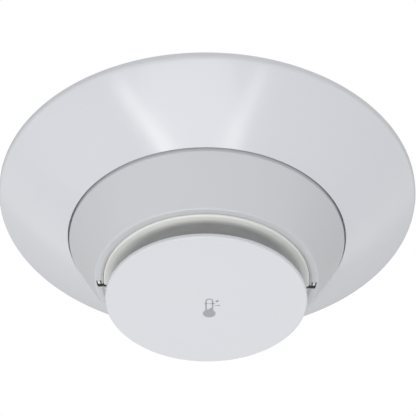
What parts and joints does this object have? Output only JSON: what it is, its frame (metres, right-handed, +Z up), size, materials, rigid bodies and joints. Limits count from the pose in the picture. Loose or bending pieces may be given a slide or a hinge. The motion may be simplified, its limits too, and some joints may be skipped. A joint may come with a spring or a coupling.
{
  "type": "heat detector",
  "caption": "Ceiling heat detector: a twist-lock head with a flat round cap below an air gap, on a wired base with a wide sloping trim skirt.",
  "frame": {"origin": "centre of the base's ceiling face, midway between the ceiling box screws", "axes": "+Z up into the ceiling along the detector's axis, the detector hangs below; +X to the right through the wide pair of screw slots and the status windows"},
  "size_m": [0.155, 0.155, 0.048],
  "materials": {
    "skirt_white": "semi-gloss moulded plastic",
    "cover_white": "semi-gloss moulded plastic",
    "cap_white": "fine satin moulded plastic",
    "base_white": "satin moulded plastic",
    "lever_white": "satin moulded plastic",
    "back_white": "satin moulded plastic",
    "window_clear": "clear polished plastic",
    "shield_black": "moulded plastic",
    "led_body": "milky resin",
    "screw_steel": "zinc plated",
    "clamp_steel": "zinc plated",
    "strip_metal": "tin plated",
    "blade_metal": "plated spring brass",
    "board_green": "solder mask on glass fibre",
    "switch_black": "moulded plastic",
    "dial_white": "moulded plastic",
    "chip_black": "moulded epoxy",
    "capacitor_can": "drawn can",
    "reed_glass": "sealed glass tube",
    "chip_ceramic": "fired ceramic",
    "bead_resin": "dipped epoxy",
    "lead_metal": "tinned wire",
    "sleeve_rubber": "moulded rubber"
  },
  "bodies": {
    "base": {"mounting_base": "base_white", "trim_skirt": "skirt_white", "terminal_strips": "strip_metal", "terminal_clamps": "clamp_steel", "terminal_screws": "screw_steel"},
    "lever": {"tamper_lever": "lever_white"},
    "head": {"back_cover": "back_white", "cover_screws": "screw_steel", "contact_blades": "blade_metal", "head_cover": "cover_white", "throat_ring": "cover_white", "cap_disc": "cap_white", "light_pipes": "window_clear", "light_shields": "shield_black", "status_leds": "led_body", "circuit_board": "board_green", "address_switches": "switch_black", "microcontroller": "chip_black", "capacitors": "capacitor_can", "surge_suppressor": "chip_black", "test_reed_switch": "reed_glass", "chip_parts": "chip_ceramic", "thermistor": "bead_resin", "thermistor_leads": "lead_metal", "thermistor_sleeve": "sleeve_rubber"},
    "tens": {"tens_dial": "dial_white"},
    "ones": {"ones_dial": "dial_white"}
  },
  "joints": [
    {"name": "head_twist", "type": "hinge", "parent": "base", "child": "head", "pos_m": [0, 0, 0], "axis": [0, 0, 1], "range_deg": [-18, 0]},
    {"name": "lever_press", "type": "hinge", "parent": "base", "child": "lever", "pos_m": [-0.02664, -0.03618, -0.0051], "axis": [-0.3987, -0.9171, 0], "range_deg": [0, 6], "stiffness_Nm_per_rad": 0.2},
    {"name": "tens_turn", "type": "hinge", "parent": "head", "child": "tens", "pos_m": [-0.0085, 0, -0.0115], "axis": [0, 0, 1], "continuous": true},
    {"name": "ones_turn", "type": "hinge", "parent": "head", "child": "ones", "pos_m": [0.0085, 0, -0.0115], "axis": [0, 0, 1], "continuous": true}
  ]
}
